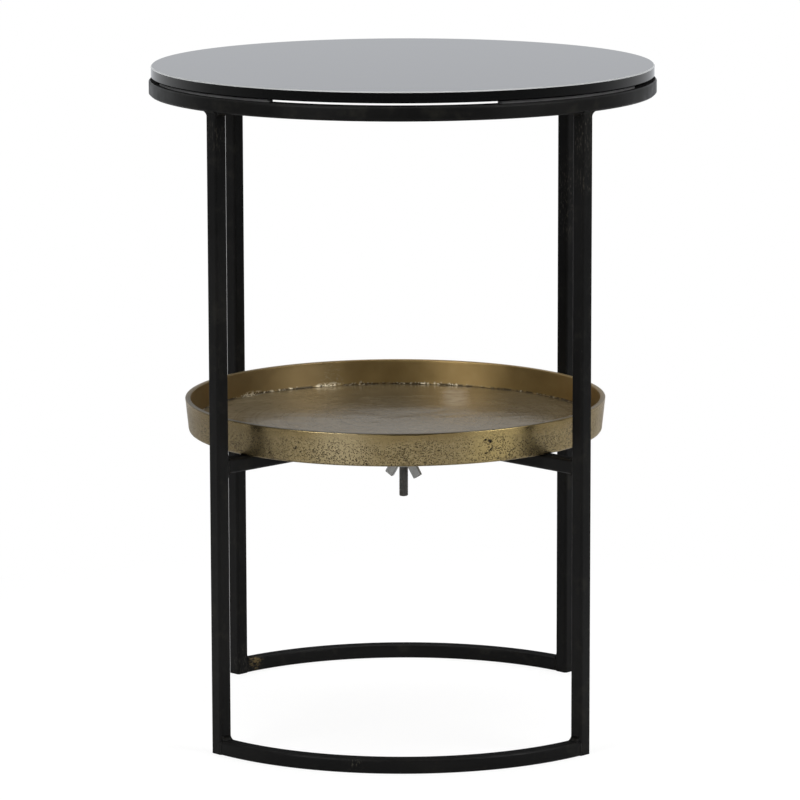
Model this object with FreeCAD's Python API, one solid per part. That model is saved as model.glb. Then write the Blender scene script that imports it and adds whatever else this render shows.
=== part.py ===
import FreeCAD, Part
import math
import os

# Tiered side table: a round glass top on a welded frame of square bar, with a cast tray
# standing on a cross of bars below it and held down by a stud and a wing nut.
# Millimetres, +Z up, -Y is the front. The origin is on the floor, under the frame's centre.

# Overall sizes
table_height = 590.0
ring_diameter = 450.0
tray_rest_height = 261.7

# Frame: square bar with eased edges, one size throughout
bar = 12.7
bar_edge = 1.4
bead = 4.0
bead_hollow_share = 0.37

# Legs: an even angle from the sides, and how far round the ring each one stands from it
leg_angle = 45.0
leg_turns = {"front_left": -2.1, "front_right": -0.25, "back_right": 1.2, "back_left": 0.2}

# Glass top, with its ground and polished edge just inside the ring's outer face
glass_inset = 2.0
glass_thickness = 10.0
glass_arris = 1.0

# Curved rubber strips between the ring and the glass
pad_thickness = 2.5
pad_width = 7.2
pad_setback = 4.6
pad_arc = 43.0
pad_shifts = {"front_left": -6.1, "front_right": -0.55, "back_right": 0.0, "back_left": 0.0}

# Cast tray, drafted outwards to its rim, clear of the legs and set a little to the left
tray_leg_gap = 23.8
tray_height = 31.0
tray_wall = 4.8
tray_floor = 8.4
tray_draft = 6.0
tray_offset = -7.3
tray_foot_edge = 2.4
tray_rim_edge = 1.0
tray_corner_edge = 1.6

# Stud in a blind hole in the tray's underside
stud_diameter = 8.0
stud_reach = 51.0
stud_cover = 2.0
stud_seat_clearance = 0.05
stud_chamfer = 1.0
stud_hole_clearance = 0.5

# Washer, lying on the wing nut
washer_clearance = 0.5
washer_width = 4.0
washer_thickness = 1.6

# Wing nut, stored backed off the cross bars
nut_gap = 12.5
nut_height = 20.0
nut_span = 37.0
nut_hub_wall = 3.9
nut_hub_end_wall = 2.4
nut_hub_height = 9.5
nut_hub_edge = 0.8
nut_clearance = 0.06
nut_turn = -30.0
wing_width = 8.2
wing_lean = 31.0
wing_root_thickness = 3.8
wing_tip_thickness = 2.4
wing_shoulder = 1.2
wing_corner = 0.7

# Cuts run past the faces they open by this much
overrun = 5.0

ORIGIN = FreeCAD.Vector(0, 0, 0)
X = FreeCAD.Vector(1, 0, 0)
Y = FreeCAD.Vector(0, 1, 0)
Z = FreeCAD.Vector(0, 0, 1)
FULL_TURN = 360.0
HALF_TURN = FULL_TURN / 2

# Heights, from the floor to the glass
ring_bottom = table_height - glass_thickness - pad_thickness - bar
pad_bottom = ring_bottom + bar
glass_bottom = pad_bottom + pad_thickness
cross_bottom = tray_rest_height - bar
washer_top = cross_bottom - nut_gap
nut_top = washer_top - washer_thickness

# Radii: the legs' outer faces are flush with the ring and with the base arcs
bar_radius = ring_diameter / 2 - bar / 2
leg_inner = bar_radius - bar / 2
bead_run = bar - 2 * bar_edge
tray_radius = leg_inner - tray_leg_gap

# The stud, and what fits round it
stud_radius = stud_diameter / 2
stud_seat = tray_floor - stud_cover
washer_bore_radius = stud_radius + washer_clearance
nut_bore_radius = stud_radius + nut_clearance

# Directions of the legs from the centre, and the side on which each meets its base arc
even_directions = {
    "front_left": HALF_TURN + leg_angle,
    "front_right": FULL_TURN - leg_angle,
    "back_right": leg_angle,
    "back_left": HALF_TURN - leg_angle,
}
leg_directions = {name: even + leg_turns[name] for name, even in even_directions.items()}
arc_sides = {"front_left": 1, "front_right": -1, "back_right": 1, "back_left": -1}


def leg_face(name):
    """Point on the floor under the middle of a leg's inner face."""
    direction = math.radians(leg_directions[name])
    return (X * math.cos(direction) + Y * math.sin(direction)) * leg_inner


# The long cross bar lies straight from leg to leg, and the stud stands where it passes the Y axis
cross_start = leg_face("front_left")
cross_end = leg_face("back_right")
cross_way = (cross_end - cross_start).normalize()
stud_axis = cross_start - cross_way * (cross_start.x / cross_way.x)


def turned(shape, angle):
    """Copy of a shape, turned about the table's axis."""
    copy = shape.copy()
    copy.rotate(ORIGIN, Z, angle)
    return copy


def eased_face(corners, rounded=False):
    """Flat face whose outline joins the corner points, each eased by its own radius.

    An eased corner is a flat between the ends of its radius, or the arc itself if rounded.
    """
    stops = []
    for i, (point, radius) in enumerate(corners):
        to_last = (corners[i - 1][0] - point).normalize()
        to_next = (corners[(i + 1) % len(corners)][0] - point).normalize()
        half_angle = to_last.getAngle(to_next) / 2
        back = radius / math.tan(half_angle)
        inward = (to_last + to_next).normalize()
        middle = point + inward * (radius / math.sin(half_angle) - radius)
        stops.append((point + to_last * back, middle, point + to_next * back))
    edges = []
    for i, (start, middle, end) in enumerate(stops):
        if corners[i][1]:
            easing = Part.Arc(start, middle, end) if rounded else Part.LineSegment(start, end)
            edges.append(easing.toShape())
        after = stops[(i + 1) % len(stops)][0]
        edges.append(Part.LineSegment(end, after).toShape())
    return Part.Face(Part.Wire(edges))


def bar_section(centre, across, along):
    """The bar's square section about a centre, in the plane of two unit vectors."""
    half = bar / 2
    signs = ((1, 1), (-1, 1), (-1, -1), (1, -1))
    return eased_face([(centre + across * half * a + along * half * b, bar_edge) for a, b in signs])


def turned_profile(outline, centre=ORIGIN):
    """Solid of revolution about an upright axis, from (radius, height, easing) corners."""
    corners = [(centre + X * radius + Z * height, easing) for radius, height, easing in outline]
    return eased_face(corners).revolve(centre, Z, FULL_TURN)


def weld_bead(corner, first, second):
    """Hollow-faced bead in the corner between two faces that run along two unit vectors."""
    run = first.cross(second)
    start = corner - run * bead_run / 2
    ends = start + first * bead, start + second * bead
    middle = start + (first + second) * bead * bead_hollow_share
    outline = [
        Part.LineSegment(start, ends[0]).toShape(),
        Part.Arc(ends[0], middle, ends[1]).toShape(),
        Part.LineSegment(ends[1], start).toShape(),
    ]
    return Part.Face(Part.Wire(outline)).extrude(run * bead_run)


def groove_fill(corner, first, second, run):
    """Weld that squares up an eased edge, ground flush with the faces that meet at its corner.

    The two unit vectors lead from the corner along those faces, and it reaches along the run.
    """
    outline = [corner, corner + first * bar_edge, corner + second * bar_edge, corner]
    return Part.Face(Part.makePolygon(outline)).extrude(run * bead_run)


def leg_edge_fill(out, side, bottom):
    """Fill along one upright edge of a leg on the X axis, over the height of a bar that meets it there."""
    corner = X * (bar_radius + bar / 2 * out) + Y * bar / 2 * side + Z * (bottom + bar_edge)
    return groove_fill(corner, -X * out, -Y * side, Z)


def glass_top():
    radius = ring_diameter / 2 - glass_inset
    top = table_height
    return turned_profile(
        [
            (0, glass_bottom, 0),
            (radius - glass_arris, glass_bottom, 0),
            (radius, glass_bottom + glass_arris, 0),
            (radius, top - glass_arris, 0),
            (radius - glass_arris, top, 0),
            (0, top, 0),
        ]
    )


def pad():
    """Round-ended strip that follows the ring, centred on the X axis."""
    outer = ring_diameter / 2 - pad_setback
    middle = outer - pad_width / 2
    inner = outer - pad_width
    half = math.radians(pad_arc / 2)

    def at(radius, angle):
        return FreeCAD.Vector(radius * math.cos(angle), radius * math.sin(angle), pad_bottom)

    # each end bulges by half the strip's width
    bulge = half + pad_width / 2 / middle
    outline = [
        Part.Arc(at(outer, -half), at(outer, 0), at(outer, half)).toShape(),
        Part.Arc(at(outer, half), at(middle, bulge), at(inner, half)).toShape(),
        Part.Arc(at(inner, half), at(inner, 0), at(inner, -half)).toShape(),
        Part.Arc(at(inner, -half), at(middle, -bulge), at(outer, -half)).toShape(),
    ]
    return Part.Face(Part.Wire(outline)).extrude(Z * pad_thickness)


def top_ring():
    centre = X * bar_radius + Z * (ring_bottom + bar / 2)
    return bar_section(centre, X, Z).revolve(ORIGIN, Z, FULL_TURN)


def leg():
    return bar_section(X * bar_radius, X, Y).extrude(Z * ring_bottom)


def base_arc(first_leg, last_leg):
    """Rolled bar on the floor, cut square against the sides of the two legs that it joins."""
    section = bar_section(X * bar_radius + Z * bar / 2, X, Z)
    span = leg_directions[last_leg] - leg_directions[first_leg]
    arc = turned(section, leg_directions[first_leg]).revolve(ORIGIN, Z, span)
    side = bar + 2 * overrun
    corner = X * (bar_radius - side / 2) - Y * bar / 2 - Z * overrun
    leg_space = Part.makeBox(side, bar, side, corner)
    return arc.cut([turned(leg_space, leg_directions[name]) for name in (first_leg, last_leg)])


def cross_piece(start, end):
    """Straight bar at the height of the cross, between two points on the floor below it."""
    across = Z.cross((end - start).normalize())
    return bar_section(start + Z * (cross_bottom + bar / 2), across, Z).extrude(end - start)


def beyond_leg(name):
    """Block that starts at a leg's inner face, to cut a cross bar's end to that face."""
    side = bar + 2 * overrun
    corner = X * leg_inner - Y * side / 2 + Z * (cross_bottom - overrun)
    return turned(Part.makeBox(side, side, side, corner), leg_directions[name])


def long_cross_bar():
    """Bar from leg to leg, with the stud's hole through it."""
    piece = cross_piece(cross_start - cross_way * overrun, cross_end + cross_way * overrun)
    hole_start = stud_axis + Z * (cross_bottom - overrun)
    hole = Part.makeCylinder(stud_radius + stud_hole_clearance, bar + 2 * overrun, hole_start)
    return piece.cut([hole, beyond_leg("front_left"), beyond_leg("back_right")])


def half_bar_line(name):
    """Foot of a half bar on the long bar's middle line, square across from a leg, and its way there."""
    face = leg_face(name)
    foot = cross_start + cross_way * cross_way.dot(face - cross_start)
    return foot, (face - foot).normalize()


def half_cross_bar(name):
    """Bar from the side of the long bar to a leg."""
    foot, way = half_bar_line(name)
    piece = cross_piece(foot + way * bar / 2, leg_face(name) + way * overrun)
    return piece.cut(beyond_leg(name))


def ring_beads():
    """Beads under the ring on both sides of a leg on the X axis, and a fill above its outer face."""
    top = X * bar_radius + Z * ring_bottom
    beads = [weld_bead(top + Y * bar / 2 * side, Y * side, -Z) for side in (1, -1)]
    fill = groove_fill(top + X * bar / 2 - Y * bead_run / 2, -X, Z, Y)
    return beads + [fill]


def cross_beads():
    """Beads above and below a cross bar's end on a leg on the X axis, and fills at its two sides."""
    middle = X * leg_inner + Z * (cross_bottom + bar / 2)
    beads = [weld_bead(middle + Z * bar / 2 * side, -X, Z * side) for side in (1, -1)]
    return beads + [leg_edge_fill(-1, side, cross_bottom) for side in (1, -1)]


def base_beads(side):
    """Bead on top of a base arc, against one side of a leg on the X axis, and fills out and in of it."""
    corner = X * bar_radius + Y * bar / 2 * side + Z * bar
    return [weld_bead(corner, Y * side, Z)] + [leg_edge_fill(out, side, 0) for out in (1, -1)]


def centre_beads(name):
    """Upright beads in the two corners where a half bar meets the long bar."""
    foot, way = half_bar_line(name)
    middle = foot + way * bar / 2 + Z * (cross_bottom + bar / 2)
    sides = cross_way, -cross_way
    return [weld_bead(middle + side * bar / 2, side, way) for side in sides]


def tray():
    slope = math.tan(math.radians(tray_draft))
    inner_rim = tray_radius - tray_wall
    outline = [
        (0, 0, 0),
        (tray_radius - tray_height * slope, 0, tray_foot_edge),
        (tray_radius, tray_height, tray_rim_edge),
        (inner_rim, tray_height, tray_rim_edge),
        (inner_rim - (tray_height - tray_floor) * slope, tray_floor, tray_corner_edge),
        (0, tray_floor, 0),
    ]
    casting = turned_profile(outline, X * tray_offset + Z * tray_rest_height)
    socket_radius = stud_radius + stud_seat_clearance
    socket_start = stud_axis + Z * (tray_rest_height - overrun)
    return casting.cut(Part.makeCylinder(socket_radius, stud_seat + overrun, socket_start))


def tray_stud():
    end = cross_bottom - stud_reach
    return turned_profile(
        [
            (0, end, 0),
            (stud_radius - stud_chamfer, end, 0),
            (stud_radius, end + stud_chamfer, 0),
            (stud_radius, tray_rest_height + stud_seat, 0),
            (0, tray_rest_height + stud_seat, 0),
        ],
        stud_axis,
    )


def washer():
    inner = washer_bore_radius
    outer = inner + washer_width
    corners = (inner, nut_top), (outer, nut_top), (outer, washer_top), (inner, washer_top)
    return turned_profile([(radius, height, 0) for radius, height in corners], stud_axis)


def wing():
    """One blade, leaning down and out from the hub in the plane of X and Z."""
    lean = math.radians(wing_lean)
    tip = nut_top - nut_height
    blade = X * math.sin(lean) - Z * math.cos(lean)
    inner_tip = X * (nut_span / 2 - wing_width * math.cos(lean)) + Z * tip
    outer_tip = inner_tip + (X * math.cos(lean) + Z * math.sin(lean)) * wing_width
    shoulder = nut_top - wing_shoulder
    hub_end = nut_top - nut_hub_height
    root = nut_bore_radius + nut_hub_end_wall / 2
    outer_root = outer_tip - blade * ((shoulder - outer_tip.z) / math.cos(lean))
    inner_root = inner_tip - blade * ((hub_end - inner_tip.z) / math.cos(lean))
    outline = [
        (X * root + Z * shoulder, 0),
        (outer_root, wing_corner),
        (outer_tip, wing_corner),
        (inner_tip, wing_corner),
        (inner_root, 0),
        (X * root + Z * (hub_end + wing_shoulder), 0),
    ]
    plate = eased_face(outline, rounded=True).extrude(Y * wing_root_thickness)
    plate.translate(Y * -wing_root_thickness / 2)
    # the blade thins from its root to its tip
    thick, thin = Y * wing_root_thickness / 2, Y * wing_tip_thickness / 2
    plan = [X * root - thick, X * nut_span / 2 - thin, X * nut_span / 2 + thin, X * root + thick]
    taper = Part.Face(Part.makePolygon(plan + plan[:1])).extrude(Z * nut_height)
    taper.translate(Z * tip)
    return plate.common(taper)


def wing_nut():
    """Tapered hub, flat face up, with two blades that hang down and out from it."""
    end = nut_top - nut_hub_height
    hub = turned_profile(
        [
            (0, end, 0),
            (nut_bore_radius + nut_hub_end_wall, end, nut_hub_edge),
            (nut_bore_radius + nut_hub_wall, nut_top, nut_hub_edge),
            (0, nut_top, 0),
        ]
    )
    blade = wing()
    body = hub.fuse([blade, turned(blade, HALF_TURN)]).removeSplitter()
    bore = Part.makeCylinder(nut_bore_radius, nut_hub_height + 2 * overrun, Z * (end - overrun))
    nut = turned(body.cut(bore), nut_turn)
    nut.translate(stud_axis)
    return nut


def group(beads):
    return Part.makeCompound(beads)


nodes = {"glass_top": glass_top(), "top_ring": top_ring()}
for name, direction in leg_directions.items():
    nodes[name + "_pad"] = turned(pad(), direction + pad_shifts[name])
    nodes[name + "_leg"] = turned(leg(), direction)
nodes["front_base_arc"] = base_arc("front_left", "front_right")
nodes["back_base_arc"] = base_arc("back_right", "back_left")
nodes["long_cross_bar"] = long_cross_bar()
half_bars = "front_right", "back_left"
for name in half_bars:
    nodes[name + "_half_cross_bar"] = half_cross_bar(name)

directions = leg_directions.values()
nodes["ring_welds"] = group([turned(b, d) for d in directions for b in ring_beads()])
nodes["cross_welds"] = group([turned(b, d) for d in directions for b in cross_beads()])
base_ends = [(arc_sides[name], direction) for name, direction in leg_directions.items()]
nodes["base_welds"] = group([turned(b, d) for side, d in base_ends for b in base_beads(side)])
nodes["centre_welds"] = group([b for name in half_bars for b in centre_beads(name)])

nodes["tray"] = tray()
nodes["tray_stud"] = tray_stud()
nodes["washer"] = washer()
nodes["wing_nut"] = wing_nut()

os.makedirs("parts", exist_ok=True)
for name, shape in nodes.items():
    shape.exportStep("parts/" + name + ".step")
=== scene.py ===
import math

import bpy
from mathutils import Euler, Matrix, Quaternion, Vector, noise


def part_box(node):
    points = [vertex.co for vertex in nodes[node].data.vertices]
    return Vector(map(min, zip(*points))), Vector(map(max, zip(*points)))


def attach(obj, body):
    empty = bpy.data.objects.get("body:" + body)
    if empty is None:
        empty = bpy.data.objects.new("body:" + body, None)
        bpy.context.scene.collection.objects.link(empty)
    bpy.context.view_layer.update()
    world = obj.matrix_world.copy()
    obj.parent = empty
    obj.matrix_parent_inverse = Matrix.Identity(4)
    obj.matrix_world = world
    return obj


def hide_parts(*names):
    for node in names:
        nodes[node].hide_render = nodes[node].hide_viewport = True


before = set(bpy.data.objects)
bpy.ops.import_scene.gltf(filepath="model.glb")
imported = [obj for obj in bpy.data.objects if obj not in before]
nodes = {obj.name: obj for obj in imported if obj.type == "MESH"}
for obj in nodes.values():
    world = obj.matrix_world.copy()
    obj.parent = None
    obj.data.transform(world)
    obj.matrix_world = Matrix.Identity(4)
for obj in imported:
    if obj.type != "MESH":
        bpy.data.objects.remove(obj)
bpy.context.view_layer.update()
scene = bpy.context.scene

MM = 0.001
TURN = 2 * math.pi

# Sizes of the two replaced pieces, in metres: their boxes, and what the CAD model has inside them
tray_low, tray_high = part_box("tray")
tray_centre = Vector(((tray_low.x + tray_high.x) / 2, 0, 0))
tray_base = tray_low.z
tray_top = tray_high.z
tray_height = tray_top - tray_base
tray_radius = (tray_high.x - tray_low.x) / 2
tray_slope = math.tan(math.radians(6.0))
tray_wall = 4.8 * MM
tray_floor = 8.4 * MM
outer_foot = tray_radius - tray_height * tray_slope
inner_rim = tray_radius - tray_wall
inner_foot = inner_rim - (tray_height - tray_floor) * tray_slope
stud_low, stud_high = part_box("tray_stud")
stud_radius = (stud_high.x - stud_low.x) / 2
stud_centre = Vector(((stud_low.x + stud_high.x) / 2, (stud_low.y + stud_high.y) / 2, 0))
thread_pitch = 1.25 * MM
thread_depth = 0.5 * MM


class Graph:
    """The nodes of a tree, added by calls that take values or sockets and return sockets."""

    def __init__(self, tree):
        self.tree = tree

    def put(self, socket, value):
        if isinstance(value, bpy.types.NodeSocket):
            self.tree.links.new(value, socket)
        elif socket.type == "RGBA" and len(value) == 3:
            socket.default_value = (*value, 1.0)
        else:
            socket.default_value = value

    def node(self, kind, inputs=None, **settings):
        made = self.tree.nodes.new("ShaderNode" + kind)
        for key, value in settings.items():
            setattr(made, key, value)
        for key, value in (inputs or {}).items():
            self.put(made.inputs[key], value)
        return made

    def math(self, operation, a, b=0.0, clamp=False):
        made = self.node("Math", {0: a, 1: b}, operation=operation, use_clamp=clamp)
        return made.outputs[0]

    def plus(self, a, b, clamp=False):
        return self.math("ADD", a, b, clamp)

    def minus(self, a, b, clamp=False):
        return self.math("SUBTRACT", a, b, clamp)

    def times(self, a, b):
        return self.math("MULTIPLY", a, b)

    def more(self, a, b):
        return self.math("GREATER_THAN", a, b)

    def less(self, a, b):
        return self.math("LESS_THAN", a, b)

    def greatest(self, a, b):
        return self.math("MAXIMUM", a, b)

    def span(self, value, low, high, to_low=0.0, to_high=1.0, soft=False):
        """A value's way from low to high, held at its ends, as a way from to_low to to_high."""
        inputs = {0: value, 1: low, 2: high, 3: to_low, 4: to_high}
        kind = "SMOOTHSTEP" if soft else "LINEAR"
        return self.node("MapRange", inputs, interpolation_type=kind).outputs[0]

    def split(self, vector):
        return self.node("SeparateXYZ", {0: vector}).outputs

    def vector(self, operation, a, b=None):
        """A vector sum or product, or the one number that an operation on vectors gives."""
        inputs = {0: a} if b is None else {0: a, 1: b}
        made = self.node("VectorMath", inputs, operation=operation)
        one_number = operation in ("DISTANCE", "DOT_PRODUCT", "LENGTH")
        return made.outputs["Value" if one_number else "Vector"]


class Surface(Graph):
    """A material's nodes, with the calls that only a surface uses."""

    def __init__(self, name):
        self.material = bpy.data.materials.new(name)
        self.material.use_nodes = True
        super().__init__(self.material.node_tree)
        self.shader = self.tree.nodes["Principled BSDF"]
        self.place = self.node("TexCoord").outputs["Object"]

    def set(self, **inputs):
        """Values of the shader's own sockets, with spaces in their names as underlines."""
        for key, value in inputs.items():
            self.put(self.shader.inputs[key.replace("_", " ")], value)

    def mix(self, share, a, b):
        return self.node("Mix", {0: share, 6: a, 7: b}, data_type="RGBA").outputs[2]

    def tint(self, base, colour, share, strength=None):
        """A colour laid over another by a share, with a strength if it has one."""
        if strength is not None:
            share = self.times(share, strength)
        return self.mix(share, base, colour)

    def stretched(self, scale):
        return self.node("Mapping", {"Vector": self.place, "Scale": scale}).outputs[0]

    def noise(self, scale, detail=3.0, roughness=0.55, place=None, distortion=0.0):
        inputs = {"Vector": self.place if place is None else place, "Scale": scale,
                  "Detail": detail, "Roughness": roughness, "Distortion": distortion}
        return self.node("TexNoise", inputs).outputs["Fac"]

    def streaks(self, scale, detail, roughness, distortion=0.0):
        """Noise with a scale of its own along each axis."""
        return self.noise(1.0, detail, roughness, self.stretched(scale), distortion)

    def vary(self, texture, low=0.0, high=1.0):
        """A value that goes from low to high with a noise."""
        return self.span(texture, noise_low, noise_high, low, high)

    def cells(self, scale):
        return self.node("TexVoronoi", {"Vector": self.place, "Scale": scale}).outputs

    def specks(self, scale, size, rarity, channel):
        """1 in round specks, at some of the points of a scattered grid."""
        spots = self.cells(scale)
        picked = self.more(self.split(spots["Color"])[channel], rarity)
        return self.times(self.less(spots["Distance"], size), picked)

    def upward(self):
        """How far a face looks up in the piece's frame, from -1 to 1."""
        world = self.node("NewGeometry").outputs["Normal"]
        own = self.node("VectorTransform", {0: world}, vector_type="NORMAL",
                        convert_from="WORLD", convert_to="OBJECT").outputs[0]
        return self.split(own)[2]

    def rounded(self, radius, samples=8):
        """The face's direction with the edges near it rounded off."""
        return self.node("Bevel", {"Radius": radius}, samples=samples).outputs[0]

    def edge_wear_and_shade(self, radius):
        """From 0 on flat stretches to 1 on edges that stand out or run in."""
        face = self.node("NewGeometry").outputs["Normal"]
        return self.span(self.vector("DOT_PRODUCT", self.rounded(radius, 6), face), 0.995, 0.86)

    def near(self, point, radius):
        """1 at a point of the piece, falling to 0 at a distance."""
        return self.span(self.vector("DISTANCE", self.place, point), radius, 0.0, soft=True)

    def attribute(self, name):
        return self.node("Attribute", attribute_name=name).outputs["Fac"]

    def bump(self, height, distance, strength=1.0, onto=None):
        inputs = {"Height": height, "Distance": distance, "Strength": strength}
        if onto:
            inputs["Normal"] = onto
        return self.node("Bump", inputs).outputs[0]


# Materials. Colours are linear, and noise scales are per metre.

# the stretch that noise mostly stays in
noise_low, noise_high = 0.3, 0.7
coat_rounding = 2.2 * MM


def black_coat():
    """Satin black coat on iron bar: uneven, rubbed at its edges, with scuffs and specks, and
    painted shade on its upper faces.
    """
    deep, faded = (0.0054, 0.0054, 0.0054), (0.0086, 0.0084, 0.0080)
    olive, painted_top_shade = (0.0200, 0.0190, 0.0150), (0.0030, 0.0030, 0.0029)
    rubbed, scuffed = (0.030, 0.028, 0.023), (0.052, 0.048, 0.038)
    primer, dust_grey = (0.150, 0.108, 0.045), (0.050, 0.048, 0.042)
    # where the coat is scuffed, and the one corner where it is rubbed through: (point, radius)
    scuff_places = [
        ((-0.166, -0.151, 0.545), 0.022),
        ((0.158, -0.160, 0.545), 0.030),
        ((0.160, -0.160, 0.510), 0.022),
        ((0.151, 0.150, 0.450), 0.060),
        ((-0.044, -0.221, 0.010), 0.013),
        ((-0.148, 0.158, 0.012), 0.026),
    ]
    bare_place = ((-0.139, 0.160, 0.010), 0.013)

    g = Surface("black_coat")
    broad = g.noise(9.0)
    patch = g.noise(55.0, 4.0, 0.6)
    fine = g.noise(900.0, 2.0)
    up = g.span(g.upward(), 0.78, 0.97)
    base = g.mix(g.span(broad, 0.35, 0.65), deep, faded)
    base = g.tint(base, olive, g.span(patch, 0.56, 0.72), 0.6)
    # painted shade: faces that look up are darkened
    base = g.tint(base, painted_top_shade, up)
    # rubbed edges, in broken runs
    runs = g.span(g.noise(38.0, 5.0, 0.65), 0.50, 0.70)
    base = g.tint(base, rubbed, g.times(g.edge_wear_and_shade(1.6 * MM), runs), 0.6)
    # scuffs: patches of short scratches
    marks = g.near(*scuff_places[0])
    for place in scuff_places[1:]:
        marks = g.greatest(marks, g.near(*place))
    scratch = g.streaks((700.0, 700.0, 230.0), 5.0, 0.7)
    scuff = g.times(g.span(marks, 0.05, 0.6), g.span(scratch, 0.54, 0.66))
    base = g.tint(base, scuffed, scuff)
    # golden primer at the bare corner
    flake = g.streaks((190.0, 190.0, 420.0), 4.0, 0.7)
    bare_and_edge_shade = g.times(g.near(*bare_place), g.span(flake, 0.42, 0.62))
    base = g.tint(base, primer, g.span(bare_and_edge_shade, 0.15, 0.6))
    # dust in the coat
    dust_size = g.span(g.noise(31.0, 2.0), 0.50, 0.75, 0.0, 0.16)
    dust = g.specks(260.0, dust_size, 0.80, 0)
    base = g.tint(base, dust_grey, dust, 0.5)
    rough = g.vary(patch, 0.31, 0.46)
    rough = g.plus(rough, g.times(g.plus(scuff, dust), 0.15), clamp=True)
    rough = g.plus(rough, g.times(up, 0.6), clamp=True)
    lay = g.bump(patch, 0.25 * MM, 0.5, g.rounded(coat_rounding))
    lay = g.bump(fine, 0.06 * MM, 0.6, lay)
    lay = g.bump(g.minus(1.0, scuff), 0.12 * MM, 0.5, lay)
    g.set(Base_Color=base, Roughness=rough, Normal=lay, Specular_IOR_Level=0.13)
    return g.material


def weld_coat():
    """The same coat over a bead: thicker, with a little more gloss, and painted highlights on its
    lumps.
    """
    deep, faded, crest = (0.0035, 0.0035, 0.0034), (0.0075, 0.0072, 0.0062), (0.060, 0.058, 0.052)
    g = Surface("weld_coat")
    lumps = g.noise(420.0, 3.0, 0.6)
    base = g.mix(g.span(lumps, 0.35, 0.7), deep, faded)
    # painted highlights: a pale colour on the tops of the lumps
    base = g.tint(base, crest, g.span(lumps, 0.58, 0.70), 0.6)
    g.set(Base_Color=base, Roughness=g.vary(lumps, 0.36, 0.52),
          Normal=g.bump(lumps, 0.3 * MM, 0.7, g.rounded(coat_rounding)), Specular_IOR_Level=0.19)
    return g.material


def black_glass():
    """Black glass with a clean polished face and an upper arris painted pale as a highlight."""
    body, painted_arris_highlight, dust_grey = (0.0035, 0.0037, 0.0038), (0.420, 0.430, 0.430), (0.35, 0.35, 0.34)
    g = Surface("black_glass")
    up = g.upward()
    arris = g.times(g.span(up, 0.25, 0.45), g.span(up, 0.97, 0.85))
    smear = g.span(g.streaks((5.0, 26.0, 5.0), 4.0, 0.6, 1.2), 0.45, 0.75)
    dust = g.specks(150.0, 0.035, 0.93, 1)
    # painted highlight: the upper arris in a pale colour
    base = g.mix(arris, body, painted_arris_highlight)
    base = g.tint(base, dust_grey, dust, 0.35)
    rough = g.plus(g.span(smear, 0.0, 1.0, 0.016, 0.045), g.times(arris, 0.22))
    ripple = g.noise(7.0, 2.0)
    g.set(Base_Color=base, Roughness=g.plus(rough, g.times(dust, 0.4)),
          Normal=g.bump(ripple, 0.05 * MM, 0.25), IOR=1.52)
    return g.material


def pad_rubber():
    """Dark grey rubber, bloomed and dusty."""
    dark, bloomed = (0.075, 0.075, 0.077), (0.125, 0.125, 0.125)
    g = Surface("pad_rubber")
    bloom = g.noise(70.0, 4.0)
    grain = g.noise(1400.0, 2.0)
    g.set(Base_Color=g.mix(g.span(bloom, 0.35, 0.7), dark, bloomed),
          Roughness=g.vary(bloom, 0.62, 0.80),
          Normal=g.bump(grain, 0.08 * MM, 0.6), Specular_IOR_Level=0.4)
    return g.material


def zinc():
    """Zinc plate: cloudy grey metal, with painted shade darkening its edges."""
    dull, bright, bare_and_edge_shade = (0.425, 0.427, 0.416), (0.620, 0.623, 0.608), (0.022, 0.022, 0.021)
    g = Surface("zinc_plate")
    cloud = g.noise(260.0, 4.0, 0.6)
    grain = g.noise(1500.0, 2.0)
    base = g.mix(g.vary(cloud), dull, bright)
    # painted shade: the edges darkened
    base = g.tint(base, bare_and_edge_shade, g.edge_wear_and_shade(0.9 * MM), 0.92)
    g.set(Base_Color=base, Metallic=0.6, Roughness=g.vary(cloud, 0.34, 0.52),
          Normal=g.bump(grain, 0.05 * MM, 0.5), Specular_IOR_Level=0.25)
    return g.material


def dark_steel():
    """Blackened steel of the threaded stud, with worn crests."""
    deep, pale, worn = (0.090, 0.090, 0.084), (0.138, 0.137, 0.128), (0.184, 0.182, 0.172)
    level_only = (1.0, 1.0, 0.0)
    g = Surface("dark_steel")
    cloud = g.noise(300.0, 4.0, 0.6)
    level = g.vector("MULTIPLY", g.vector("SUBTRACT", g.place, stud_centre), level_only)
    out = g.vector("LENGTH", level)
    crest = g.span(out, stud_radius - 0.28 * MM, stud_radius - 0.04 * MM)
    base = g.mix(g.vary(cloud), deep, pale)
    base = g.tint(base, worn, crest, 0.6)
    g.set(Base_Color=base, Metallic=0.2, Roughness=g.vary(cloud, 0.45, 0.62),
          Normal=g.bump(cloud, 0.1 * MM, 0.5), Specular_IOR_Level=0.12)
    return g.material


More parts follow.
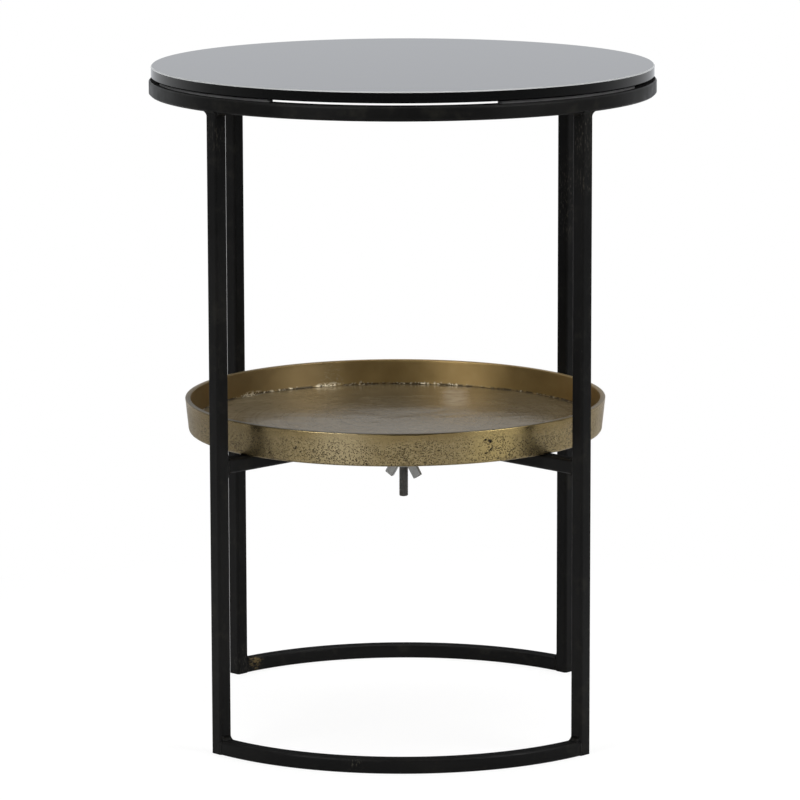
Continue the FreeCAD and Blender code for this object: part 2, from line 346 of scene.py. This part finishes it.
def floor_patina(g, x, y, stain, turning, ripple):
    """Colour of the tray's floor: dark patina, paler to the front, with turning marks, grit and a
    painted glint.
    """
    dark, pale, front = (0.116, 0.088, 0.046), (0.192, 0.150, 0.086), (0.250, 0.210, 0.148)
    groove, crest = (0.074, 0.056, 0.029), (0.230, 0.186, 0.114)
    painted_glint_colour, grit_dark = (0.390, 0.370, 0.330), (0.075, 0.059, 0.033)
    base = g.mix(g.span(stain, 0.35, 0.68), dark, pale)
    base = g.tint(base, front, g.span(y, 0.150, 0.050), 0.40)
    base = g.tint(base, groove, g.span(turning, 0.50, 0.70), 0.6)
    base = g.tint(base, crest, g.span(ripple, 0.50, 0.62), 0.35)
    # a painted glint: one pale streak from back to front, standing in for a reflection
    glint_x, glint_y = 0.048, 0.110
    sideways = g.math("ABSOLUTE", g.minus(x, glint_x))
    lengthways = g.math("ABSOLUTE", g.minus(y, glint_y))
    painted_glint = g.times(g.span(sideways, 0.017, 0.003, soft=True),
                   g.span(lengthways, 0.070, 0.020, soft=True))
    base = g.tint(base, painted_glint_colour, painted_glint, g.span(ripple, 0.36, 0.64, 0.45, 0.9))
    grit = g.streaks((120.0, 330.0, 120.0), 4.0, 0.7)
    return g.tint(base, grit_dark, g.span(grit, 0.50, 0.68), 0.60)


def corner_crumbs(g, base, gap):
    """Adds a dark line along the tray's inner corner, and crumbs of bright metal in its clumps."""
    line_dark, crumb_bright = (0.022, 0.017, 0.011), (0.62, 0.54, 0.38)
    clump = g.attribute("clump")
    crumb = g.noise(430.0, 3.0, 0.6)
    width = g.span(clump, 0.0, 1.0, 1.6 * MM, 2.6 * MM)
    in_line = g.span(g.math("DIVIDE", gap, width), 1.0, 0.4)
    line = g.times(in_line, g.span(g.noise(120.0), 0.36, 0.5))
    base = g.tint(base, line_dark, line, 0.85)
    reach = g.span(clump, 0.0, 1.0, 1.5 * MM, 4.2 * MM)
    close = g.span(g.math("DIVIDE", gap, reach), 1.0, 0.5)
    need = g.span(clump, 0.0, 1.0, 0.60, 0.47)
    light = g.times(close, g.span(g.minus(crumb, need), 0.0, 0.05))
    return g.tint(base, crumb_bright, light)


def antique_brass():
    """Sand casting with an antique brass finish: smooth rim band, pitted wall, turned floor."""
    gold_dark, gold = (0.225, 0.158, 0.062), (0.310, 0.232, 0.100)
    dull_dark, dull = (0.245, 0.182, 0.080), (0.425, 0.335, 0.170)
    inner_dark, inner_bright = (0.292, 0.193, 0.070), (0.380, 0.266, 0.107)
    left_dark_colour, pitted, painted_rim_shade = (0.130, 0.098, 0.050), (0.070, 0.052, 0.027), (0.060, 0.052, 0.038)
    gouged, edge_bright = (0.020, 0.015, 0.010), (0.40, 0.33, 0.19)
    # a scraped place on the inner wall and painted highlights at places on the outer wall: (point,
    # radius), shade
    scraped_place, scraped_bright = ((-0.066, 0.170, 0.279), 0.018), (0.520, 0.430, 0.260)
    painted_highlight_places = [
        (((-0.054, -0.181, 0.276), 0.040), (0.540, 0.440, 0.250)),
        (((0.081, -0.165, 0.276), 0.046), (0.560, 0.425, 0.170)),
    ]

    g = Surface("antique_brass")
    x, y, z = g.split(g.place)[:3]
    across = g.minus(x, tray_centre.x)
    radius = g.math("SQRT", g.plus(g.math("POWER", across, 2.0), g.math("POWER", y, 2.0)))
    up = g.upward()
    sand = g.noise(380.0, 4.0, 0.65)
    cloud = g.noise(26.0, 4.0, 0.6)
    # masks: the outer wall with its pitted band below the rim, the floor, and the inner wall
    drafted = g.minus(radius, g.times(g.minus(z, tray_base), tray_slope))
    outer = g.more(drafted, outer_foot - 2.2 * MM)
    drop = g.plus(z, g.times(g.noise(16.0), 12.0 * MM))
    below_rim = g.span(drop, tray_top + 3.5 * MM, tray_top - 8.0 * MM, soft=True)
    rough_band = g.times(outer, below_rim)
    floor = g.times(g.more(up, 0.9), g.less(radius, inner_rim - 0.2 * MM))
    above = g.more(z, tray_base + tray_floor - 1.0 * MM)
    inner = g.minus(g.times(above, g.minus(1.0, outer)), floor, clamp=True)
    rim = g.times(g.span(up, 0.35, 0.75), g.span(z, tray_top - 4.0 * MM, tray_top - 2.6 * MM))
    # dense dark pits that the sand leaves in the band
    grains = g.cells(880.0)
    density = g.vary(g.noise(38.0), 0.38, 0.60)
    hole = g.span(g.minus(density, grains["Distance"]), 0.0, 0.12)
    picked = g.more(g.split(grains["Color"])[0], 0.38)
    pit = g.times(g.times(rough_band, hole), picked)
    # the floor's turning marks round the centre, stains and ripples
    rings = g.node("CombineXYZ", {0: g.times(radius, 420.0), 1: g.times(x, 6.0),
                                  2: g.times(y, 6.0)}).outputs[0]
    turning = g.noise(1.0, 5.0, 0.7, place=rings)
    stain = g.streaks((9.0, 22.0, 9.0), 5.0, 0.6, 0.8)
    ripple = g.streaks((38.0, 60.0, 38.0), 4.0, 0.65, 0.5)
    # the walls' finish, brighter inside and at the scraped place; two places on the outer wall
    # carry painted highlights
    clouded = g.vary(cloud)
    base = g.mix(rough_band, g.mix(clouded, gold_dark, gold),
                 g.mix(g.vary(sand), dull_dark, dull))
    base = g.mix(inner, base, g.mix(clouded, inner_dark, inner_bright))
    scrape = g.streaks((260.0, 260.0, 620.0), 4.0, 0.7, 1.5)
    scraped = g.times(g.near(*scraped_place), g.span(scrape, 0.54, 0.60))
    base = g.tint(base, scraped_bright, scraped, inner)
    # painted highlights: paler patches on the outer wall
    for place, shade in painted_highlight_places:
        base = g.tint(base, shade, g.near(*place), g.times(outer, 0.8))
    # darker to the left, more so inside
    left_darkening = g.times(g.greatest(g.span(across, -0.075, -0.12, soft=True), inner), 0.55)
    left_darkening = g.times(left_darkening, g.span(across, -0.02, -0.07, soft=True))
    base = g.tint(base, left_dark_colour, left_darkening)
    base = g.tint(base, pitted, pit)
    base = g.mix(floor, base, floor_patina(g, x, y, stain, turning, ripple))
    # painted shade on the front of the rim, and the gouges that are cut into the mesh
    rim_shade_share = g.times(g.span(across, -0.15, 0.17, 0.9, 0.6), g.span(y, -0.03, 0.08, 1.0, 0.15))
    base = g.tint(base, painted_rim_shade, rim, rim_shade_share)
    base = g.tint(base, gouged, g.span(g.attribute("gouge"), 0.15, 0.7))
    # the corner between wall and floor
    corner = {0: g.minus(radius, inner_foot), 1: g.minus(z, tray_base + tray_floor)}
    gap = g.vector("LENGTH", g.node("CombineXYZ", corner).outputs[0])
    base = corner_crumbs(g, base, gap)
    edge = g.times(g.edge_wear_and_shade(1.2 * MM), g.span(gap, 3.0 * MM, 8.0 * MM))
    edge = g.times(edge, g.span(cloud, 0.35, 0.6))
    base = g.tint(base, edge_bright, edge, 0.25)
    rough = g.vary(cloud, 0.21, 0.29)
    rough = g.plus(rough, g.times(rough_band, 0.09))
    rough = g.plus(rough, g.times(inner, 0.14))
    rough = g.plus(rough, g.times(g.plus(pit, rim), 0.2))
    rough = g.times(rough, g.minus(1.0, floor))
    floor_rough = g.times(floor, g.vary(stain, 0.12, 0.17))
    rough = g.plus(rough, floor_rough, clamp=True)
    lay = g.bump(sand, 0.22 * MM, g.times(rough_band, 0.7))
    lay = g.bump(g.minus(1.0, pit), 0.35 * MM, 0.8, lay)
    lay = g.bump(turning, 0.06 * MM, g.times(floor, 0.6), lay)
    lay = g.bump(ripple, 0.12 * MM, floor, lay)
    # the floor came out of the mould a little high at the front
    front_rise = -0.018
    lay = g.bump(g.times(y, front_rise), 1.0, floor, lay)
    lay = g.bump(cloud, 0.5 * MM, 0.35, lay)
    # bare brass on the walls, under a dark patina on the floor
    bare_brass = 0.92
    patina = g.span(across, -0.13, -0.05, -0.84, -0.66)
    g.set(Base_Color=base, Metallic=g.plus(bare_brass, g.times(floor, patina)), Roughness=rough,
          Normal=lay, Specular_IOR_Level=0.015, Specular_Tint=(0.94, 0.86, 0.74),
          Coat_Weight=g.span(floor, 0.0, 1.0, 0.35, 0.0), Coat_Roughness=0.30, Coat_IOR=1.45)
    return g.material


def pale_floor():
    """Pale floor, white to the camera like the room, but for a trace of the table's shadow."""
    darker, paler, white = (0.62, 0.62, 0.62), (0.64, 0.64, 0.64), (1.0, 1.0, 1.0)
    g = Surface("pale_floor")
    pale = g.mix(g.noise(3.0, 2.0), darker, paler)
    seen = g.node("LightPath").outputs["Is Camera Ray"]
    # near the table a share of what the camera sees is lit by the lamps, the rest glows
    lit = g.span(g.vector("LENGTH", g.place), 0.7, 0.3, 0.0, 0.2, soft=True)
    glow = g.times(seen, g.minus(1.0, g.times(lit, 0.75)))
    g.set(Base_Color=g.mix(seen, pale, lit), Roughness=0.9, Specular_IOR_Level=0.0,
          Emission_Color=white, Emission_Strength=glow)
    return g.material


# Shapes


def add_object(name, data):
    made = bpy.data.objects.new(name, data)
    scene.collection.objects.link(made)
    return made


def new_piece(name, points, faces, material, body):
    mesh = bpy.data.meshes.new(name)
    mesh.from_pydata(points, [], faces)
    mesh.validate()
    for polygon in mesh.polygons:
        polygon.use_smooth = True
    mesh.materials.append(material)
    piece = add_object(name, mesh)
    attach(piece, body)
    return piece


def outline(corners, arc_steps):
    """Points (radius, height) along corners (radius, height, rounding, steps to the next)."""
    stops = []
    for i, (r, z, rounding, steps) in enumerate(corners):
        here = Vector((r, z))
        if not rounding:
            stops.append(([here], steps))
            continue
        back = (Vector(corners[i - 1][:2]) - here).normalized()
        on = (Vector(corners[i + 1][:2]) - here).normalized()
        half = back.angle(on) / 2
        centre = here + (back + on).normalized() * rounding / math.sin(half)
        first = here + back * rounding / math.tan(half) - centre
        last = here + on * rounding / math.tan(half) - centre
        sweep = first.angle_signed(last)
        arc = []
        for k in range(arc_steps + 1):
            a = -sweep * k / arc_steps
            turned = Vector((first.x * math.cos(a) - first.y * math.sin(a),
                             first.x * math.sin(a) + first.y * math.cos(a)))
            arc.append(centre + turned)
        stops.append((arc, steps))
    points = []
    for (arc, steps), (following, _) in zip(stops, stops[1:] + stops[-1:]):
        points += arc
        for k in range(1, steps):
            points.append(arc[-1].lerp(following[0], k / steps))
    return points


def turned_grid(profile, segments, centre, shift):
    """Points and faces of a closed skin turned from a profile that starts and ends on the axis.

    shift(point, row, angle) moves each point. Angles start at the front and go to the right.
    """
    points, rows = [], []
    for k, (r, z) in enumerate(profile):
        row = []
        for j in range(1 if r < 1e-9 else segments):
            angle = TURN * j / segments
            point = centre + Vector((r * math.sin(angle), -r * math.cos(angle), z))
            row.append(len(points))
            points.append(shift(point, k, angle))
        rows.append(row)
    faces = []
    for low, high in zip(rows, rows[1:]):
        for j in range(segments):
            a, b = low[j % len(low)], low[(j + 1) % len(low)]
            c, d = high[(j + 1) % len(high)], high[j % len(high)]
            # a row that is one point on the axis gives triangles
            faces.append(list(dict.fromkeys((a, b, c, d))))
    return points, faces


# Gouges on the tray's outer wall: (degrees from the front, share of the height, length and half
# breadth in mm, tilt in degrees)
gouges = [
    (26.0, 0.66, 6.0, 1.7, -35.0), (24.6, 0.71, 3.5, 1.2, 15.0), (26.2, 0.40, 9.0, 1.1, 52.0),
    (24.8, 0.30, 4.0, 1.0, 20.0), (20.8, 0.13, 4.5, 0.9, -40.0), (21.8, 0.10, 3.5, 0.9, 35.0),
    (-27.5, 0.45, 5.0, 1.0, 70.0), (-26.0, 0.35, 4.0, 1.0, 20.0), (-36.0, 0.22, 5.0, 1.0, 40.0),
    (8.0, 0.12, 4.0, 1.0, -30.0), (118.0, 0.5, 6.0, 1.2, 30.0), (205.0, 0.4, 7.0, 1.2, -40.0),
    (160.0, 0.6, 4.0, 1.0, 15.0),
]
# degrees to each side beyond which no gouge reaches
gouge_reach = 6.0
# Where broken metal gathers along its inner corner: (degrees from the front, half width, amount)
clumps = [
    (227.0, 6.0, 1.0), (200.0, 5.5, 1.0), (190.0, 1.2, 1.0), (312.0, 5.0, 1.0),
    (38.0, 4.0, 1.0), (195.0, 45.0, 0.35), (168.0, 13.0, 0.6),
]


def gouge_at(point, angle, share):
    """How deep the outer wall is gouged at a point, from 0 to 1."""
    deepest = 0.0
    for degrees, level, length, breadth, tilt in gouges:
        sideways = (math.degrees(angle) - degrees + 180.0) % 360.0 - 180.0
        if abs(sideways) > gouge_reach:
            continue
        u = math.radians(sideways) * tray_radius / MM
        v = (share - level) * tray_height / MM
        c, s = math.cos(math.radians(tilt)), math.sin(math.radians(tilt))
        du, dv = (u * c + v * s) / length * 2, (v * c - u * s) / breadth
        ragged = 0.5 * noise.noise(point * 700.0)
        deepest = max(deepest, 1.0 - du * du - dv * dv + ragged)
    return min(deepest, 1.0)


def clump_at(angle):
    """How much broken metal lies in the inner corner at an angle, from 0 to 1."""
    most = 0.0
    for degrees, width, amount in clumps:
        off = (math.degrees(angle) - degrees) / width
        most = max(most, amount * (1.0 - off * off))
    return most


def tray_casting(material):
    """The tray's skin, with the waves, gouges and ragged corner that the mould left in it."""
    outer_rounding, rim_rounding, inner_rounding = 3.0 * MM, 0.9 * MM, 0.8 * MM
    corner_strip = 8.0 * MM
    broad_wave, fine_wave, sand_height = 0.22 * MM, 0.10 * MM, 0.16 * MM
    gouge_depth, crumb_height, front_sag = 0.55 * MM, 1.0 * MM, 1.7 * MM
    arc_steps, segments = 5, 960
    corners = [
        (0, 0, 0, 6),
        (outer_foot, 0, outer_rounding, 30),
        (tray_radius, tray_height, rim_rounding, 3),
        (inner_rim, tray_height, rim_rounding, 20),
        (inner_foot, tray_floor, inner_rounding, 8),
        (inner_foot - corner_strip, tray_floor, 0, 20),
        (0, tray_floor, 0, 1),
    ]
    profile = [(p.x, p.y + tray_base) for p in outline(corners, arc_steps)]
    outward = []
    for before, after in zip(profile[:1] + profile[:-1], profile[1:] + profile[-1:]):
        along = (Vector(after) - Vector(before)).normalized()
        outward.append(Vector((along.y, -along.x)))
    gouge_values, clump_values = [], []

    def shift(point, k, angle):
        r, z = profile[k]
        share = (z - tray_base) / tray_height
        out = outward[k]
        gouge = clump = 0.0
        push = broad_wave * noise.noise(point * 22.0) + fine_wave * noise.noise(point * 75.0)
        on_outer_wall = r > outer_foot - 1.0 * MM and out.x > 0.5
        if on_outer_wall:
            sand = sand_height * noise.noise(point * 330.0)
            gouge = gouge_at(point, angle, share)
            push += sand * max(0.0, 1.0 - share * 1.1) - gouge_depth * gouge
        # ragged metal along the corner between floor and wall, by the gap to it in mm
        gap = math.hypot(r - inner_foot, z - tray_base - tray_floor) / MM
        in_corner = out.x < 0.5 and gap < 7.0
        if in_corner:
            clump = clump_at(angle)
            ragged = max(0.0, noise.noise(Vector((angle * 75.0, gap * 0.55, 3.0))) + 0.1)
            close = max(0.0, 1.0 - gap / (1.2 + 2.6 * clump))
            push += crumb_height * ragged * close * max(0.3, clump)
        gouge_values.append(gouge)
        clump_values.append(clump)
        # the rim's top and the underside stay smooth
        on_rim, underneath = share > 0.97, share < 0.02 and out.y < -0.5
        if on_rim or underneath:
            push = 0.0
        # the wall came out a little lower at the front
        sag = 0.0
        if r > inner_foot:
            sag = front_sag * max(0.0, share) * (1.0 + math.cos(angle)) / 2
        lean = Vector((math.sin(angle) * out.x, -math.cos(angle) * out.x, out.y))
        return point + lean * push - Vector((0, 0, sag))

    points, faces = turned_grid(profile, segments, tray_centre, shift)
    piece = new_piece("tray_casting", points, faces, material, "tray")
    for name, values in (("gouge", gouge_values), ("clump", clump_values)):
        piece.data.attributes.new(name, "FLOAT", "POINT").data.foreach_set("value", values)
    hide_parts("tray")


def threaded_stud(material):
    """Stud with a right-hand thread cut along it and a rounded end."""
    length = stud_high.z - stud_low.z
    columns, rows_per_turn = 40, 8
    end_height, end_rounding = 1.3 * MM, 1.2 * MM
    # share of the depth that is cut at the root, and how fast that runs out to the crest
    root, flank = 0.75, 1.3
    rows = int(length / thread_pitch * rows_per_turn)
    profile = [(0.0, stud_low.z)]
    profile += [(stud_radius, stud_low.z + length * k / rows) for k in range(rows + 1)]
    profile.append((0.0, stud_high.z))

    def shift(point, k, angle):
        if k in (0, len(profile) - 1):
            return point
        up = point.z - stud_low.z
        turn = (up / thread_pitch - angle / TURN) % 1.0
        ridge = 1.0 - abs(turn * 2.0 - 1.0)
        cut = thread_depth * max(0.0, root - ridge * flank)
        below_end = 1.0 - min(up / end_height, 1.0)
        ease = 1.0 - math.sqrt(max(0.0, 1.0 - below_end ** 2))
        radius = stud_radius - cut - ease * end_rounding
        place = stud_centre + (point - stud_centre) * (radius / stud_radius)
        return Vector((place.x, place.y, point.z))

    points, faces = turned_grid(profile, columns, stud_centre, shift)
    piece = new_piece("threaded_stud", points, faces, material, "tray")
    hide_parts("tray_stud")


def soften(node, width):
    """Rounds a model piece's edges for the eye."""
    sharp_from = math.radians(24.0)
    bevel = nodes[node].modifiers.new("soft_edges", "BEVEL")
    bevel.width = width
    bevel.segments = 2
    bevel.limit_method = "ANGLE"
    bevel.angle_limit = sharp_from
    weights = nodes[node].modifiers.new("even_shade", "WEIGHTED_NORMAL")
    weights.keep_sharp = False


coat = black_coat()
rubber = pad_rubber()
bead = weld_coat()
plate = zinc()
node_materials = {"glass_top": black_glass(), "washer": plate, "wing_nut": plate}
for name in nodes:
    if name.endswith("_pad"):
        node_materials[name] = rubber
    elif name.endswith("_welds"):
        node_materials[name] = bead
    elif name not in node_materials and not name.startswith("tray"):
        node_materials[name] = coat
for name, material in node_materials.items():
    nodes[name].data.materials.clear()
    nodes[name].data.materials.append(material)
    if material is coat:
        soften(name, 0.4 * MM)
soften("wing_nut", 0.3 * MM)
soften("washer", 0.2 * MM)

tray_casting(antique_brass())
threaded_stud(dark_steel())

# Stage: floor, white room, lamps and camera

floor_radius = 1.5
floor_sides = 96
floor_drop = 0.2 * MM
# shades of the room from behind the camera, over the sides, to behind the table
room_shades = [
    (0.0, (0.04, 0.04, 0.04, 1.0)),
    (0.28, (0.10, 0.10, 0.10, 1.0)),
    (0.55, (0.24, 0.24, 0.24, 1.0)),
    (0.85, (0.62, 0.63, 0.64, 1.0)),
    (1.0, (0.745, 0.765, 0.80, 1.0)),
]
# a box at each side with a low strip under it, and one box above: (name, place, point that it
# looks at, width and height, watts). The gap between box and strip keeps their mirror image off
# the glass in views from behind.
lamps = [
    ("left_box", (-1.7, -2.0, 1.95), (0, 0, 0.4), (2.0, 0.95), 34.5),
    ("left_strip", (-1.7, -2.0, 0.8), (0, 0, 0.4), (2.0, 0.45), 6.2),
    ("right_box", (2.2, -1.4, 1.95), (0, 0, 0.4), (2.0, 0.95), 34.5),
    ("right_strip", (2.2, -1.4, 0.8), (0, 0, 0.4), (2.0, 0.45), 6.2),
    ("top_box", (0.0, 0.3, 2.4), (0, 0, 0.3), (2.8, 2.2), 30.0),
]
# share of a lamp's face over which it fades at each side
lamp_fade = 0.3
# the photograph's camera, fitted to the table's edges
image_width = 800
focal_pixels = 4750.9
eye_place = (-0.0031, -4.1959, 1.0369)
eye_pitch = 0.1768
eye_roll = -0.0025


def floor():
    """Pale round of floor under the table; the white room goes on beyond it."""
    edge = []
    for k in range(floor_sides):
        angle = TURN * k / floor_sides
        edge.append((floor_radius * math.cos(angle), floor_radius * math.sin(angle), 0))
    mesh = bpy.data.meshes.new("floor")
    mesh.from_pydata(edge, [], [tuple(range(floor_sides))])
    mesh.materials.append(pale_floor())
    plane = add_object("floor", mesh)
    plane.location.z = -floor_drop


def room():
    """White to the camera; to the object a soft room, bright behind, dark behind the camera."""
    scene.world = bpy.data.worlds.new("room")
    scene.world.use_nodes = True
    g = Graph(scene.world.node_tree)
    g.tree.nodes.clear()
    direction = g.split(g.node("TexCoord").outputs["Generated"])
    ramp = g.node("ValToRGB", {0: g.span(direction[1], -1.0, 1.0)})
    stops = ramp.color_ramp.elements
    stops[0].position, stops[0].color = room_shades[0]
    stops[1].position, stops[1].color = room_shades[-1]
    for position, shade in room_shades[1:-1]:
        stops.new(position).color = shade
    white = g.node("Background", {"Color": (1.0, 1.0, 1.0)}).outputs[0]
    shaded = g.node("Background", {"Color": ramp.outputs[0]}).outputs[0]
    seen = g.node("LightPath").outputs["Is Camera Ray"]
    g.node("OutputWorld", {0: g.node("MixShader", {0: seen, 1: shaded, 2: white}).outputs[0]})


def soft_box(name, place, target, size, power):
    """Area lamp that fades to its sides and keeps its power."""
    lamp = bpy.data.lights.new(name, "AREA")
    lamp.shape = "RECTANGLE"
    lamp.size, lamp.size_y = size
    lamp.energy = power
    lamp.use_nodes = True
    g = Graph(lamp.node_tree)
    fades = []
    for side in g.split(g.node("NewGeometry").outputs["Parametric"])[:2]:
        from_side = g.math("PINGPONG", side, 0.5)
        full = 1.0 / (1.0 - lamp_fade)
        fades.append(g.span(from_side, 0.0, lamp_fade, 0.0, full, soft=True))
    g.put(g.tree.nodes["Emission"].inputs["Strength"], g.times(*fades))
    box = add_object(name, lamp)
    box.location = place
    box.rotation_euler = (Vector(target) - Vector(place)).to_track_quat("-Z", "Y").to_euler()


def camera():
    lens = bpy.data.cameras.new("camera")
    lens.sensor_width = 36.0
    lens.lens = focal_pixels / image_width * lens.sensor_width
    lens.clip_end = 100.0
    eye = add_object("camera", lens)
    eye.location = eye_place
    eye.rotation_mode = "QUATERNION"
    level_turn = Euler((math.pi / 2 - eye_pitch, 0.0, 0.0)).to_quaternion()
    eye.rotation_quaternion = level_turn @ Quaternion((0.0, 0.0, 1.0), eye_roll)
    scene.camera = eye


floor()
room()
for lamp in lamps:
    soft_box(*lamp)
camera()
scene.view_settings.view_transform = "Standard"
